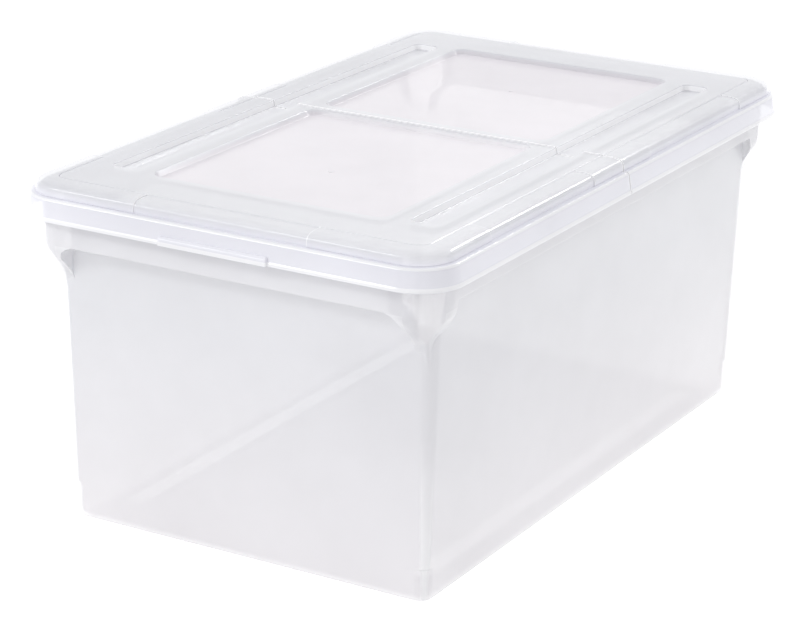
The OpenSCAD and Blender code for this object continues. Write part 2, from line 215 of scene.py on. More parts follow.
CORNER_STEPS = 12
ALL_CORNERS = ((1, 1), (1, -1), (-1, -1), (-1, 1))
SMOOTH_ANGLE = math.radians(30)
# A bend takes up at most this share of the way to the next outline
BEND_SHARE = 0.45
# Places closer together than this count as the same
NEAR = 1e-5
# Two outlines at the same height are set this far apart, or they would be joined with a twist
HAIR = 2e-5


class Outline:
    """A level rounded rectangle. bend is the rounding of the surface where it turns at this outline."""

    def __init__(self, half_x, half_y, corner, z, bend=0.0, middle=(0.0, 0.0)):
        self.values = (half_x, half_y, corner, z)
        self.bend = bend
        self.middle = middle

    def toward(self, other, share):
        """The outline that lies this share of the way to another one."""
        mixed = [a + (b - a) * share for a, b in zip(self.values, other.values)]
        middle = tuple(a + (b - a) * share for a, b in zip(self.middle, other.middle))
        return Outline(*mixed, middle=middle)

    def away(self, other):
        """How far another outline is in the section across the long side."""
        return math.hypot(self.values[1] - other.values[1], self.values[3] - other.values[3])


def softened(outlines, steps=3):
    """The outlines, with a short curve at each one that has a bend."""
    soft = [outlines[0]]
    for before, here, after in zip(outlines, outlines[1:], outlines[2:]):
        if not here.bend:
            soft.append(here)
            continue
        start = here.toward(before, min(BEND_SHARE, here.bend / max(here.away(before), NEAR)))
        end = here.toward(after, min(BEND_SHARE, here.bend / max(here.away(after), NEAR)))
        for i in range(steps + 1):
            t = i / steps
            soft.append(start.toward(here, t).toward(here.toward(end, t), t))
    soft.append(outlines[-1])
    return soft


def deselect_all():
    """Leaves edit mode and selects nothing."""
    if bpy.context.object and bpy.context.object.mode == "EDIT":
        bpy.ops.object.mode_set(mode="OBJECT")
    bpy.ops.object.select_all(action="DESELECT")


def select_only(*pieces):
    """Selects these pieces and nothing else, and makes the first one active."""
    deselect_all()
    for piece in pieces:
        piece.select_set(True)
    bpy.context.view_layer.objects.active = pieces[0]


def open_piece(piece):
    """Makes a piece the only selected one and enters edit mode."""
    select_only(piece)
    bpy.ops.object.mode_set(mode="EDIT")


def open_twin(piece):
    """Copies a piece and enters edit mode in the copy, with all of it selected."""
    select_only(piece)
    bpy.ops.object.duplicate()
    bpy.ops.object.mode_set(mode="EDIT")
    bpy.ops.mesh.select_all(action="SELECT")
    return bpy.context.object


def close_piece():
    """Turns all faces outwards and leaves edit mode."""
    bpy.ops.mesh.select_all(action="SELECT")
    bpy.ops.mesh.normals_make_consistent(inside=False)
    bpy.ops.object.mode_set(mode="OBJECT")


def empty_piece(name):
    """A new mesh object at the origin, in edit mode, with nothing in it."""
    deselect_all()
    bpy.ops.mesh.primitive_plane_add(size=1)
    piece = bpy.context.object
    piece.name = name
    bpy.ops.object.mode_set(mode="EDIT")
    bpy.ops.mesh.select_all(action="SELECT")
    bpy.ops.mesh.delete(type="VERT")
    return piece


def pick(vertices=None, edges=None, faces=None):
    """Selects the vertices, edges or faces of the mesh in edit mode that pass a test."""
    data = bpy.context.object.data
    mesh = bmesh.from_edit_mesh(data)
    for group in (mesh.verts, mesh.edges, mesh.faces):
        for part in group:
            part.select = False
    for group, test in ((mesh.verts, vertices), (mesh.edges, edges), (mesh.faces, faces)):
        for part in group:
            if test and test(part):
                part.select_set(True)
    bmesh.update_edit_mesh(data)


def draw_outline(outline, number, corners):
    """Adds one outline to the mesh in edit mode, rounds its corners and marks it with its number."""
    half_x, half_y, corner, z = outline.values
    cx, cy = outline.middle
    bpy.ops.mesh.primitive_plane_add(size=2, location=(cx, cy, z))
    bpy.ops.transform.resize(value=(half_x, half_y, 1))
    mark = bmesh.from_edit_mesh(bpy.context.object.data).verts.layers.int["outline"]
    pick(
        vertices=lambda v: v[mark] == 0
        and (1 if v.co.x > cx else -1, 1 if v.co.y > cy else -1) in corners
    )
    bpy.ops.mesh.bevel(offset=corner, offset_type="ABSOLUTE", segments=CORNER_STEPS, affect="VERTICES")
    mark = bmesh.from_edit_mesh(bpy.context.object.data).verts.layers.int["outline"]
    for v in bmesh.from_edit_mesh(bpy.context.object.data).verts:
        v[mark] = v[mark] or number
    pick(vertices=lambda v: v[mark] == number)


def loft(name, outlines, corners=ALL_CORNERS):
    """A closed solid through level outlines, capped at the first and the last one."""
    piece = empty_piece(name)
    bmesh.from_edit_mesh(piece.data).verts.layers.int.new("outline")
    for number, outline in enumerate(outlines, start=1):
        draw_outline(outline, number, corners)
        bpy.ops.transform.translate(value=(0, 0, HAIR * (number % 2)))
        mark = bmesh.from_edit_mesh(piece.data).verts.layers.int["outline"]
        if 1 < number < len(outlines):
            pick(faces=lambda f: all(v[mark] == number for v in f.verts))
            bpy.ops.mesh.delete(type="ONLY_FACE")
        if number > 1:
            pair = ({number - 1}, {number})
            pick(edges=lambda e: {v[mark] for v in e.verts} in pair)
            bpy.ops.mesh.bridge_edge_loops()
    close_piece()
    return piece


def round_top(name, height, rounding, segments):
    """Names a new primitive, puts its place in its mesh and rounds its edges above a height."""
    piece = bpy.context.object
    piece.name = name
    bpy.ops.object.transform_apply(location=True, rotation=False, scale=True)
    bpy.ops.object.mode_set(mode="EDIT")
    pick(edges=lambda e: all(v.co.z > height for v in e.verts))
    bpy.ops.mesh.bevel(offset=rounding, segments=segments)
    close_piece()
    return piece


def joined(name, pieces):
    """Several pieces as one object."""
    select_only(*pieces)
    bpy.ops.object.join()
    pieces[0].name = name
    return pieces[0]


def mirrored(piece, across_x=True, across_y=True):
    """The piece with its mirror images across the middle planes, as one object."""
    for flip in [axis for axis, wanted in enumerate((across_x, across_y)) if wanted]:
        twin = open_twin(piece)
        bpy.ops.transform.mirror(constraint_axis=(flip == 0, flip == 1, False), center_override=(0, 0, 0))
        close_piece()
        piece = joined(piece.name, [piece, twin])
    return piece


def carve(piece, tool, operation):
    """Adds a tool shape to the piece or cuts it away, and removes the tool."""
    select_only(piece)
    step = piece.modifiers.new(operation.lower(), "BOOLEAN")
    step.object = tool
    step.operation = operation
    step.solver = "EXACT"
    bpy.ops.object.modifier_apply(modifier=step.name)
    bpy.data.objects.remove(tool)


def finish_piece(piece, body, node, material):
    """Smooths a piece, gives it its finish and puts it in the place of its CAD node."""
    select_only(piece)
    bpy.ops.object.shade_smooth_by_angle(angle=SMOOTH_ANGLE)
    even = piece.modifiers.new("even_normals", "WEIGHTED_NORMAL")
    even.keep_sharp = True
    bpy.ops.object.modifier_apply(modifier=even.name)
    piece.data.materials.clear()
    piece.data.materials.append(material)
    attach(piece, body)
    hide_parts(node)


# ---------- tub ----------

# How far a bracket's side and end faces sink into the walls along the ridge below its foot
SIDE_SINK = 1.5 * MM
END_SINK = 4 * MM
# Powers that shape the S curves of those faces: the higher the power, the higher the bend lies
SIDE_BEND = 1.5
END_BEND = 1.25
# Least radius of a bracket's corner, and its most in half widths of the bracket
LEAST_CORNER = 3 * MM
MOST_CORNER = 1.9
BRACKET_STEPS = 16
# How much a runner's sides slope besides their rounding
RUNNER_SLOPE = 0.2 * MM


def wall_outline(s, z, inset=0.0, foot=False, bend=0.0):
    """The walls' outline at a height: the outside, or the inside with an inset."""
    out = s.lean * (z - s.runner_drop) - inset
    full = s.lean * (s.rim - s.runner_drop)
    corner = s.foot_corner if foot else s.corner
    return Outline(s.half_width - full + out, s.half_length - full + out, corner + out, z, bend)


def floor_round(s, bottom, inset):
    """Outlines of the round edge between floor and walls."""
    made = []
    for angle in (0, 30, 60, 90):
        a = math.radians(angle)
        level = wall_outline(s, bottom + s.floor_edge * (1 - math.cos(a)), inset, foot=True)
        back = s.floor_edge * (1 - math.sin(a))
        half_x, half_y, corner, z = level.values
        made.append(Outline(half_x - back, half_y - back, corner - back, z))
    return made


def collar_outline(s, out, z, bend=0.0):
    """An outline about the collar's corner centres, out beyond the collar's face."""
    return Outline(s.collar_x + out, s.collar_y + out, s.collar_corner + out, z, bend)


def tub_body(s):
    """Walls, floor, flange and hanging collar as one solid block, before the inside is cut out."""
    under = s.rim - s.flange_thick
    foot = s.rim - s.side_drop
    outlines = floor_round(s, s.runner_drop, 0.0) + [
        wall_outline(s, s.foot - s.edge, foot=True),
        wall_outline(s, s.foot + s.edge),
        wall_outline(s, under, bend=s.edge),
        collar_outline(s, -s.collar_wall, under, s.edge),
        collar_outline(s, -s.collar_wall, foot, s.edge),
        collar_outline(s, 0, foot, s.edge),
        collar_outline(s, 0, under, s.edge),
        collar_outline(s, s.flange, under, s.edge),
        collar_outline(s, s.flange, s.rim, s.edge),
        collar_outline(s, -s.collar_corner / 2, s.rim),
    ]
    tub = loft("tub_body", softened(outlines))
    open_piece(tub)
    centre_y = s.collar_y - s.collar_corner
    pick(
        vertices=lambda v: abs(v.co.y) > centre_y + s.edge
        and foot - NEAR < v.co.z < foot + s.edge + NEAR
        and outside_walls(s, v.co)
    )
    bpy.ops.transform.translate(value=(0, 0, s.side_drop - s.grip_drop))
    close_piece()
    return tub


def outside_walls(s, place):
    """True beyond the outside of the walls."""
    return abs(place.x) > s.half_width + s.edge or abs(place.y) > s.half_length + s.edge


def bracket_outline(s, z, inset):
    """The outline of a corner bracket at a height; with an inset, of the hollow inside it."""
    top = s.rim - s.bracket_top
    foot = s.rim - s.bracket_foot
    share = min(max((z - foot - inset) / (top - foot), 0), 1)
    tail = max(foot + inset - z, 0) / s.bracket_tail

    def reach(at_foot, sinks, bend):
        swell = (1 - math.cos(math.pi * share**bend)) / 2
        return at_foot + (s.collar_corner - at_foot) * swell - sinks * tail - inset

    side = reach(s.bracket_side_r, SIDE_SINK, SIDE_BEND)
    end = reach(s.bracket_end_r, END_SINK, END_BEND)
    centre_x = s.collar_x - s.collar_corner
    centre_y = s.collar_y - s.collar_corner
    hollow_z = s.rim - s.grip_drop - s.bracket_hollow
    far_x = centre_x - s.bracket_end + inset
    near_x = centre_x + inset
    if z > s.rim - s.grip_drop + inset:
        near_x = far_x
    elif z > hollow_z:
        wide = s.bracket_hollow + inset
        near_x = centre_x - s.bracket_hollow + math.sqrt(max(wide**2 - (z - hollow_z) ** 2, 0))
    near_x = max(near_x, far_x)
    side_z = s.rim - s.side_drop
    slant = min(max((side_z - z) / (side_z - foot), 0), 1)
    near_y = centre_y - s.bracket_side + slant * (s.bracket_side - s.bracket_side_foot) + inset
    half_x = max(centre_x + side - near_x, s.edge) / 2
    half_y = max(centre_y + end - near_y, s.edge) / 2
    middle = (centre_x + side - half_x, centre_y + end - half_y)
    corner = max(max(end, 0) ** 2 / side, LEAST_CORNER - inset)
    corner = min(corner, MOST_CORNER * half_x, MOST_CORNER * half_y)
    return Outline(half_x, half_y, corner, z, middle=middle)


def brackets(s, inset, top):
    """The four corner brackets, or the hollows inside them."""
    foot = s.rim - s.bracket_foot + inset
    bend_z = s.rim - s.bracket_top + inset
    grip_z = s.rim - s.grip_drop
    levels = [foot - s.bracket_tail, foot - s.bracket_tail / 2]
    levels += [foot + (bend_z - foot) * i / BRACKET_STEPS for i in range(BRACKET_STEPS + 1)]
    levels += [grip_z - s.edge + inset, grip_z + inset, s.rim - s.side_drop + inset, top]
    one = loft("bracket", [bracket_outline(s, z, inset) for z in sorted(levels)], corners=((1, 1),))
    return mirrored(one)


def runner(s, inset, top):
    """The stacking runners under the floor, or the channels inside them."""
    half_w = s.runner_width - inset
    half_l = s.runner_length - inset
    r = half_w / 2
    slope = s.edge + RUNNER_SLOPE
    place = (s.runner_x, 0)
    outlines = [
        Outline(half_w - s.edge, half_l - s.edge, r - s.edge / 2, inset, middle=place),
        Outline(half_w, half_l, r, inset, s.edge / 2, place),
        Outline(half_w + slope, half_l + slope, r + slope, s.runner_drop + inset, middle=place),
        Outline(half_w + slope, half_l + slope, r + slope, top, middle=place),
    ]
    return mirrored(loft("runner", softened(outlines)), across_y=False)


def rails(s):
    """The two rails along the mouth that the folder hooks hang on."""
    deselect_all()
    mouth = s.half_width - s.wall
    low = s.rim - s.flange_thick / 2
    high = s.rim + s.rail_height
    place = (mouth + s.rail_width / 2, 0, (low + high) / 2)
    size = (s.rail_width, 2 * s.rail_length, high - low)
    bpy.ops.mesh.primitive_cube_add(size=1, location=place, scale=size)
    return mirrored(round_top("rail", s.rim, s.rail_width / 4, segments=3), across_y=False)


class FILEBOX_OT_tub(bpy.types.Operator):
    """Model the clear tub with its collar, corner brackets, rails and runners"""

    bl_idname = "filebox.tub"
    bl_label = "Tub"

    def execute(self, context):
        s = context.scene.filebox_tub
        tub = tub_body(s)
        carve(tub, brackets(s, 0.0, s.rim - s.flange_thick / 2), "UNION")
        carve(tub, runner(s, 0.0, s.runner_drop + s.wall / 2), "UNION")
        inside = floor_round(s, s.runner_drop + s.wall, s.wall) + [
            wall_outline(s, s.foot + s.edge, s.wall, foot=True),
            wall_outline(s, s.foot + 3 * s.edge, s.wall),
            wall_outline(s, s.rim, s.wall, bend=s.edge),
            wall_outline(s, s.rim + s.edge / 4, s.wall - 2 * s.edge),
            wall_outline(s, s.rim + 2 * s.edge, s.wall - 2 * s.edge),
        ]
        carve(tub, loft("inside", softened(inside)), "DIFFERENCE")
        carve(tub, brackets(s, s.wall, s.rim + s.edge), "DIFFERENCE")
        carve(tub, runner(s, s.wall, s.runner_drop + s.wall + s.edge), "DIFFERENCE")
        carve(tub, rails(s), "UNION")
        looks = context.scene.filebox_finish
        marks = tub_marks(s)
        material = clear_plastic("tub_plastic", looks.tub_colour, looks.tub_body)
        # Painted light: the lower walls, collar and runners take a lighter painted colour, and the corners
        # and bracket cheeks get painted highlights and painted light
        mark_plastic(material, marks, "Foot", looks.low_painted_light_colour, looks.tub_body)
        mark_plastic(material, marks, "Bright", looks.painted_light_and_whitening_colour, looks.bright_body)
        mark_plastic(material, marks, "Runner", looks.low_painted_light_colour, looks.runner_body)
        finish_piece(tub, "tub", "tub", material)
        return {"FINISHED"}


# ---------- lid ----------


def lid_outline(s, r, z, bend=0.0):
    """An outline about the lid's corner centres with this corner radius."""
    return Outline(s.centre_x + r, s.centre_y + r, r, z, bend)


def shoulder(s, low, steps=9):
    """Outlines of the full round shoulder between top plate and ledge, low for its inside."""
    top = s.plate_z - s.step
    made = []
    for i in range(steps + 1):
        a = math.pi / 2 * i / steps
        r = s.plate_r + s.step + (s.deck_r - s.plate_r - s.step - low) * math.sqrt(math.sin(a))
        made.append(lid_outline(s, r, s.ledge_z - low + (top - s.ledge_z) * math.sqrt(max(math.cos(a), 0))))
    return made


def lid_shell(s):
    """The whole lid as one shell, without its windows, grooves, pads and tabs."""
    edge_r = 2.4 * MM
    outer_ring = 4 * MM
    inner_ring = 5 * MM
    lip = s.ledge_z - s.skirt
    lip_r = s.skirt_r + s.flare + s.bead
    flare_r = s.skirt_r + s.flare
    outer = [
        lid_outline(s, s.plate_r - outer_ring, s.plate_z),
        lid_outline(s, s.plate_r, s.plate_z, s.edge / 2),
        *shoulder(s, 0),
        lid_outline(s, s.skirt_r, s.ledge_z, edge_r),
        lid_outline(s, flare_r, lip + s.bead_height, s.edge),
        lid_outline(s, lip_r, lip + s.bead_height / 2, s.edge),
        lid_outline(s, lip_r, lip, s.edge / 2),
    ]
    inner = [
        lid_outline(s, lip_r - s.thick, lip, s.edge / 2),
        lid_outline(s, flare_r - s.thick, lip + s.bead_height),
        lid_outline(s, s.skirt_r - s.thick, s.ledge_z - s.thick, edge_r / 2),
        *reversed(shoulder(s, s.thick)),
        lid_outline(s, s.plate_r - s.step, s.plate_z - s.thick, s.edge / 2),
        lid_outline(s, s.plate_r - inner_ring, s.plate_z - s.thick),
    ]
    return loft("lid", softened(outer + inner))


def raise_pads(lid, s):
    """Raises the pads on the shoulder at the corners and beside the hinge."""
    open_piece(lid)
    pad_x = s.centre_x - s.pad_end
    pad_y = s.centre_y - s.pad_side
    # A face that may be raised looks out or up at least this much, and lies this far above the ledge
    least_turn = 0.1
    least_rise = 0.1 * MM
    cuts = [((pad_x, 0, 0), (1, 0, 0)), ((-pad_x, 0, 0), (1, 0, 0))]
    for y in (pad_y, -pad_y, s.hinge_y + s.pad_hinge, s.hinge_y - s.pad_hinge):
        cuts.append(((0, y, 0), (0, 1, 0)))
    for place, direction in cuts:
        bpy.ops.mesh.select_all(action="SELECT")
        bpy.ops.mesh.bisect(plane_co=place, plane_no=direction)

    def on_pad(face):
        place = face.calc_center_median()
        x, y = abs(place.x), abs(place.y)
        out = Vector((max(x - s.centre_x, 0), max(y - s.centre_y, 0), 0))
        outward = Vector((math.copysign(out.x, place.x), math.copysign(out.y, place.y), 0))
        band = s.plate_r + s.step - NEAR < out.length < s.deck_r + NEAR
        outside = face.normal.dot(outward.normalized()) + face.normal.z > least_turn
        high = s.ledge_z + least_rise < place.z < s.plate_z - s.step + NEAR
        at_corner = x > pad_x and y > pad_y
        at_hinge = abs(place.y - s.hinge_y) < s.pad_hinge
        return band and outside and high and (at_corner or at_hinge)

    pick(faces=on_pad)
    bpy.ops.mesh.extrude_region_shrink_fatten(TRANSFORM_OT_shrink_fatten={"value": s.pad})
    bpy.ops.mesh.region_to_loop()
    bpy.ops.mesh.bevel(offset=s.pad / 3, segments=2)
    close_piece()


def sunk_panel(s, place, half, corner, depth, slope, pan):
    """The cutter for a sunk panel, or the pan of lid thickness that lies under it."""
    floor = s.plate_z - depth
    least_corner = 0.2 * MM
    # How far inside the panel's edge each outline lies, its height and its bend
    levels = [
        (slope + 2 * s.edge, floor, 0),
        (slope, floor, s.edge),
        (0, s.plate_z, s.edge),
        (-2 * s.edge, s.plate_z + s.edge / 5, 0),
        (-2 * s.edge, s.plate_z + s.edge, 0),
    ]
    if pan:
        levels = [
            (slope - s.thick, floor - s.thick, 0),
            (-s.thick, s.plate_z - s.thick, 0),
            (-s.thick, s.plate_z - s.thick / 2, 0),
        ]
    outlines = [
        Outline(half[0] - back, half[1] - back, max(corner - back, least_corner), z, bend, place)
        for back, z, bend in levels
    ]
    return loft("panel", softened(outlines))


def sunk_panels(s, pan):
    """The windows and the stacking grooves of the top plate."""
    half_l = (s.window_far - s.window_near) / 2
    place = (0, s.window_near + half_l)
    window = sunk_panel(
        s, place, (s.window_x, half_l), s.window_corner, s.window_depth, s.window_slope, pan
    )
    groove = sunk_panel(
        s, (s.groove_x, 0), (s.groove_width, s.groove_length), s.groove_corner, s.groove_depth,
        s.groove_slope, pan,
    )
    windows = mirrored(window, across_x=False)
    grooves = mirrored(groove, across_y=False)
    return joined("panels", [windows, grooves])


def pull_tabs(s):
    """The thick lips in the middle of the skirt at both ends."""
    lip = s.ledge_z - s.skirt
    out = s.centre_y + s.skirt_r + s.flare + s.bead + s.tab_out
    half_y = (s.tab_out + s.thick / 2) / 2
    top = lip + s.tab_height
    place = (0, out - half_y)
    high_place = (0, out - half_y - s.tab_out)
    width = s.tab_width
    outlines = [
        Outline(width - s.edge, half_y - s.edge, s.edge / 4, lip, middle=place),
        Outline(width, half_y, s.edge, lip, s.edge, place),
        Outline(width, half_y, s.edge, top - s.tab_out, s.tab_out, place),
        Outline(width - s.edge, half_y, s.edge, top, s.edge, high_place),
        Outline(width - 2 * s.edge, half_y / 2, s.edge / 4, top, middle=high_place),
    ]
    return mirrored(loft("tab", softened(outlines)), across_x=False)


def gate_marks(s):
    """The round marks that the moulding gates leave on the windows."""
    deselect_all()
    floor = s.plate_z - s.window_depth
    height = 1.3 * MM
    proud = 0.4 * MM
    rounding = 0.15 * MM
    place = (0, s.gate_y, floor + proud - height / 2)
    bpy.ops.mesh.primitive_cylinder_add(vertices=24, radius=s.gate_r, depth=height, location=place)
    return mirrored(round_top("gate", floor, rounding, segments=2), across_x=False)


def lid_half(whole, s, name, side):
    """The half of the lid on one side of the hinge: side is 1 for the rear and -1 for the front."""
    half = open_twin(whole)
    half.name = name
    cut = (0, s.hinge_y + side * s.hinge_gap, 0)
    bpy.ops.mesh.bisect(plane_co=cut, plane_no=(0, -side, 0), use_fill=True, clear_outer=True)
    close_piece()
    return half


class FILEBOX_OT_lid(bpy.types.Operator):
    """Model the folding lid and cut it into its two halves"""

    bl_idname = "filebox.lid"
    bl_label = "Lid halves"

    def execute(self, context):
        s = context.scene.filebox_lid
        lid = lid_shell(s)
        raise_pads(lid, s)
        carve(lid, pull_tabs(s), "UNION")
        carve(lid, sunk_panels(s, pan=True), "UNION")
        carve(lid, sunk_panels(s, pan=False), "DIFFERENCE")
        carve(lid, gate_marks(s), "UNION")
        looks = context.scene.filebox_finish
        marks = lid_marks(s)
        material = clear_plastic("lid_plastic", looks.lid_colour, looks.lid_body)
        # Painted light on the shoulder and skirt; the Bright mark holds painted highlights, painted light
        # and the hinge's stress whitening
        mark_plastic(material, marks, "Skirt", looks.skirt_painted_light_colour, looks.skirt_body)
        mark_plastic(material, marks, "Window", looks.window_colour, looks.window_body)
        mark_plastic(material, marks, "Bright", looks.painted_light_and_whitening_colour, looks.bright_body)
        for name, side in (("front", -1), ("rear", 1)):
            half = lid_half(lid, s, f"lid_{name}_skin", side)
            finish_piece(half, f"{name}_flap", f"lid_{name}", material)
        bpy.data.objects.remove(lid)
        return {"FINISHED"}


class FILEBOX_OT_web(bpy.types.Operator):
    """Give the hinge web its stress-whitened finish"""

    bl_idname = "filebox.web"
    bl_label = "Hinge web"

    def execute(self, context):
        looks = context.scene.filebox_finish
        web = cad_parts["hinge_web"]
        material = clear_plastic("web_plastic", looks.painted_light_and_whitening_colour, looks.bright_body)
        web.data.materials.clear()
        web.data.materials.append(material)
        return {"FINISHED"}


# ---------- finishes ----------

REFRACTION = 1.49
# Milky flow marks: how fine they are, the stretch of the noise they use and the tint at its two ends
FLOW_SCALE = 9
FLOW_DETAIL = 3
FLOW_SPAN = (0.3, 0.7)
FLOW_TINT = (0.95, 1.02)
# Fine haze: how fine it is and how much rougher it makes the surface
HAZE_SCALE = 260
HAZE_DETAIL = 2
HAZE_DEPTH = 0.08
RIPPLE_HEIGHT = 2 * MM
# How soon a wall looks denser as it turns from the eye
TURN_BLEND = 0.3

# The tub's marks: the heights they fade between, how soft their edges are and how strong they are. The foot
# and collar marks are painted light, the corner mark is a painted highlight and the cheek mark is painted
# light in the shade under the brackets.
LOW_LIGHT_FADE = (170 * MM, 10 * MM)
CORNER_HIGHLIGHT_FADE = (125 * MM, 45 * MM)
CORNER_HIGHLIGHT_EDGE = (0.5 * MM, 2.5 * MM)
COLLAR_EDGE = (0, 2 * MM)
COLLAR_LIGHT_SHARE = 0.35
CHEEK_MARGIN = 2 * MM
CHEEK_LIGHT_SHARE = 0.2
RUNNER_MARGIN = 1 * MM
FLOOR_MARGIN = 0.2 * MM

# The lid's marks: half the width of a line, distances from the plate, ledge and bead, and strengths. The
# ledge and bead lines are painted highlights.
LINE = 0.6 * MM
SKIRT_LIGHT_FADE = (2 * MM, 1 * MM)
SKIRT_EDGE = 1 * MM
WINDOW_FADE = (0.2 * MM, 0.5 * MM)
LEDGE_HIGHLIGHT = (1.6 * MM, 0.1 * MM)
BEAD_HIGHLIGHT_MARGIN = 0.3 * MM
PAD_SHARE = 0.6
RIM_HIGHLIGHT_SHARE = 0.8


def maths(tree, operation, *values):
    """A Math node in the tree, with numbers or other nodes' outputs as its values."""
    node = tree.nodes.new("ShaderNodeMath")
    node.operation = operation
    for socket, value in zip(node.inputs, values):
        if isinstance(value, bpy.types.NodeSocket):
            tree.links.new(value, socket)
        else:
            socket.default_value = value
    return node.outputs["Value"]


def product(tree, *values):
    """All the values multiplied together: where all the masks are."""
    return reduce(lambda a, b: maths(tree, "MULTIPLY", a, b), values)


def largest(tree, *values):
    """The largest of the values: where any of the masks is."""
    return reduce(lambda a, b: maths(tree, "MAXIMUM", a, b), values)


def ramp(tree, value, start, end, low=0.0, high=1.0):
    """A value that goes from low at start to high at end."""
    node = tree.nodes.new("ShaderNodeMapRange")
    node.inputs["From Min"].default_value = start
    node.inputs["From Max"].default_value = end
    node.inputs["To Min"].default_value = low
    node.inputs["To Max"].default_value = high
    tree.links.new(value, node.inputs["Value"])
    return node.outputs["Result"]


def between(tree, value, low, high):
    """1 where the value is between low and high, and 0 elsewhere."""
    return product(tree, maths(tree, "GREATER_THAN", value, low), maths(tree, "LESS_THAN", value, high))


def noise(tree, scale, detail):
    """Noise over a piece's own coordinates."""
    place = tree.nodes.new("ShaderNodeTexCoord")
    node = tree.nodes.new("ShaderNodeTexNoise")
    node.inputs["Scale"].default_value = scale
    node.inputs["Detail"].default_value = detail
    tree.links.new(place.outputs["Object"], node.inputs["Vector"])
    return node.outputs["Fac"]


def new_group(name, takes, gives):
    """A shader node group with these sockets, and its entry and exit nodes."""
    group = bpy.data.node_groups.new(name, "ShaderNodeTree")
    for socket, kind in takes:
        group.interface.new_socket(socket, in_out="INPUT", socket_type=kind)
    for socket, kind in gives:
        group.interface.new_socket(socket, in_out="OUTPUT", socket_type=kind)
    return group, group.nodes.new("NodeGroupInput"), group.nodes.new("NodeGroupOutput")


def skin_group():
    """Shared surface of the moulded plastic: faint flow marks, haze and a soft ripple."""
    name = "moulded_skin"
    if name in bpy.data.node_groups:
        return bpy.data.node_groups[name]
    takes = (("Colour", "NodeSocketColor"), ("Haze", "NodeSocketFloat"), ("Ripple", "NodeSocketFloat"))
    gives = (("Colour", "NodeSocketColor"), ("Roughness", "NodeSocketFloat"), ("Normal", "NodeSocketVector"))
    group, entry, leave = new_group(name, takes, gives)
    nodes, links = group.nodes, group.links
    flow = noise(group, FLOW_SCALE, FLOW_DETAIL)
    tint = nodes.new("ShaderNodeVectorMath")
    tint.operation = "SCALE"
    links.new(entry.outputs["Colour"], tint.inputs[0])
    links.new(ramp(group, flow, *FLOW_SPAN, *FLOW_TINT), tint.inputs["Scale"])
    links.new(tint.outputs["Vector"], leave.inputs["Colour"])
    fine = noise(group, HAZE_SCALE, HAZE_DETAIL)
    rough = maths(group, "MULTIPLY_ADD", fine, HAZE_DEPTH, entry.outputs["Haze"])
    links.new(rough, leave.inputs["Roughness"])
    bump = nodes.new("ShaderNodeBump")
    bump.inputs["Distance"].default_value = RIPPLE_HEIGHT
    links.new(entry.outputs["Ripple"], bump.inputs["Strength"])
    links.new(flow, bump.inputs["Height"])
    links.new(bump.outputs["Normal"], leave.inputs["Normal"])
    return group


def mask_group(name, masks):
    """A node group with these masks, its exit, and a point's |x|, |y|, z and plain y."""
    group, _, leave = new_group(name, (), [(mask, "NodeSocketFloat") for mask in masks])
    place = group.nodes.new("ShaderNodeTexCoord")
    parts = group.nodes.new("ShaderNodeSeparateXYZ")
    group.links.new(place.outputs["Object"], parts.inputs["Vector"])
    x = maths(group, "ABSOLUTE", parts.outputs["X"])
    y = maths(group, "ABSOLUTE", parts.outputs["Y"])
    return group, leave, x, y, parts.outputs["Z"], parts.outputs["Y"]


def tub_marks(s):
    """Masks of the tub's painted light on its lower walls and collar, painted highlights down its corners,
    painted light in the shade of the bracket cheeks, and its runners.
    """
    group, leave, x, y, z, _ = mask_group("tub_marks", ("Foot", "Bright", "Runner"))
    full = s.lean * (s.rim - s.runner_drop)
    # Painted highlight: the rounded corners are made lighter low down, fading out higher up
    over_x = maths(group, "SUBTRACT", x, s.half_width - full - s.corner)
    over_y = maths(group, "SUBTRACT", y, s.half_length - full - s.corner)
    corner = ramp(group, maths(group, "MINIMUM", over_x, over_y), *CORNER_HIGHLIGHT_EDGE)
    corner = product(group, corner, ramp(group, z, *CORNER_HIGHLIGHT_FADE))
    # Runners: their low opacity lets the bright floor show through, and they take the painted lower light
    # colour
    half_width = s.runner_width + RUNNER_MARGIN
    runner = product(
        group,
        between(group, x, s.runner_x - half_width, s.runner_x + half_width),
        maths(group, "LESS_THAN", y, s.runner_length + RUNNER_MARGIN),
        maths(group, "LESS_THAN", z, s.runner_drop + s.wall - FLOOR_MARGIN),
    )
    group.links.new(runner, leave.inputs["Runner"])
    # Painted light: the cheeks beside the brackets, in shade under the collar, are made a little lighter
    centre_x = s.collar_x - s.collar_corner
    centre_y = s.collar_y - s.collar_corner
    end = between(group, x, centre_x - s.bracket_end - CHEEK_MARGIN, centre_x + s.wall)
    end = product(group, end, maths(group, "GREATER_THAN", y, s.half_length))
    side = between(group, y, centre_y - s.bracket_side - CHEEK_MARGIN, centre_y + s.wall)
    side = product(group, side, maths(group, "GREATER_THAN", x, s.half_width))
    height = between(group, z, s.rim - s.bracket_foot - s.bracket_tail, s.rim - s.grip_drop)
    cheek_light = product(group, largest(group, end, side), height, CHEEK_LIGHT_SHARE)
    group.links.new(largest(group, corner, cheek_light), leave.inputs["Bright"])
    # Painted light: the collar and the lower walls are painted lighter, most of all at the ground
    past_x = maths(group, "SUBTRACT", x, s.half_width)
    past_y = maths(group, "SUBTRACT", y, s.half_length)
    collar = ramp(group, largest(group, past_x, past_y), *COLLAR_EDGE)
    foot = largest(group, product(group, collar, COLLAR_LIGHT_SHARE), ramp(group, z, *LOW_LIGHT_FADE))
    group.links.new(foot, leave.inputs["Foot"])
    return group


